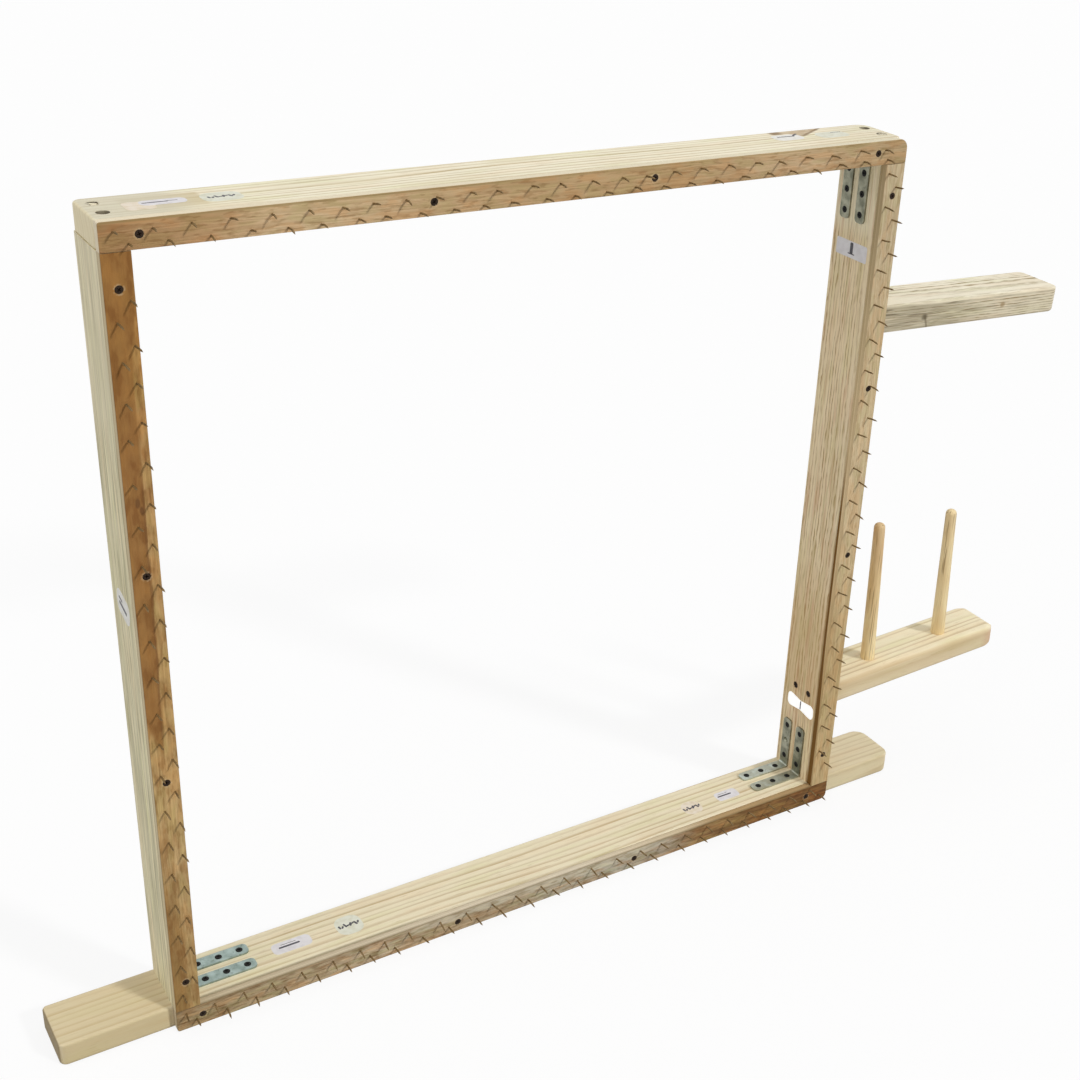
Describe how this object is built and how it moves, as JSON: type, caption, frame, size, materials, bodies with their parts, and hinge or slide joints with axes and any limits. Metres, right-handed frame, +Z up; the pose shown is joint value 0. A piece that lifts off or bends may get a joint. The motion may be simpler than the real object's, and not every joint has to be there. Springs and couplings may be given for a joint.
{
  "type": "tufting frame",
  "caption": "Square pine frame on edge with nailed tack strips on its front, clamp tabs at the foot, inner corner braces, a yarn guide arm and a shelf with cone spindles.",
  "frame": {"origin": "middle of the bottom rail's underside, midway between the two stiles and midway between the boards' front and back", "axes": "+X to the right, towards the arm and the shelf; the nails and the working side face -Y; +Z up"},
  "size_m": [1.4693, 0.1069, 1],
  "materials": {
    "pine": "pale planed pine, bare, with eased edges",
    "top_plywood": "bare plywood, light brown",
    "bottom_plywood": "bare plywood, grey tan running to dark brown",
    "left_plywood": "bare plywood, orange brown",
    "right_plywood": "bare plywood, pale tan",
    "zinc": "zinc plated stamped steel",
    "black_screw": "black phosphate screw",
    "dowel_wood": "bare turned wood"
  },
  "bodies": {
    "root": {"top_rail": "pine", "bottom_rail": "pine", "left_stile": "pine", "right_stile": "pine", "top_tack_strip": "top_plywood", "bottom_tack_strip": "bottom_plywood", "left_tack_strip": "left_plywood", "right_tack_strip": "right_plywood", "corner_brace_bottom_left_front": "zinc", "corner_brace_bottom_left_back": "zinc", "corner_brace_bottom_right_front": "zinc", "corner_brace_bottom_right_back": "zinc", "corner_brace_top_left_front": "zinc", "corner_brace_top_left_back": "zinc", "corner_brace_top_right_front": "zinc", "corner_brace_top_right_back": "zinc", "top_strip_screw_1": "black_screw", "top_strip_screw_2": "black_screw", "top_strip_screw_3": "black_screw", "top_strip_screw_4": "black_screw", "bottom_strip_screw_1": "black_screw", "bottom_strip_screw_2": "black_screw", "bottom_strip_screw_3": "black_screw", "bottom_strip_screw_4": "black_screw", "left_strip_screw_1": "black_screw", "left_strip_screw_2": "black_screw", "left_strip_screw_3": "black_screw", "left_strip_screw_4": "black_screw", "right_strip_screw_1": "black_screw", "right_strip_screw_2": "black_screw", "right_strip_screw_3": "black_screw", "right_strip_screw_4": "black_screw", "top_rail_screw_left_front": "black_screw", "top_rail_screw_left_back": "black_screw", "top_rail_screw_right_front": "black_screw", "top_rail_screw_right_back": "black_screw", "bottom_rail_screw_left_front": "black_screw", "bottom_rail_screw_left_back": "black_screw", "bottom_rail_screw_right_front": "black_screw", "bottom_rail_screw_right_back": "black_screw", "yarn_shelf_screw_front": "black_screw", "yarn_shelf_screw_back": "black_screw", "guide_arm_dowel_front": "dowel_wood", "guide_arm_dowel_back": "dowel_wood", "yarn_guide_arm": "pine", "yarn_shelf": "pine", "yarn_spindle_inner": "dowel_wood", "yarn_spindle_outer": "dowel_wood"}
  },
  "joints": []
}
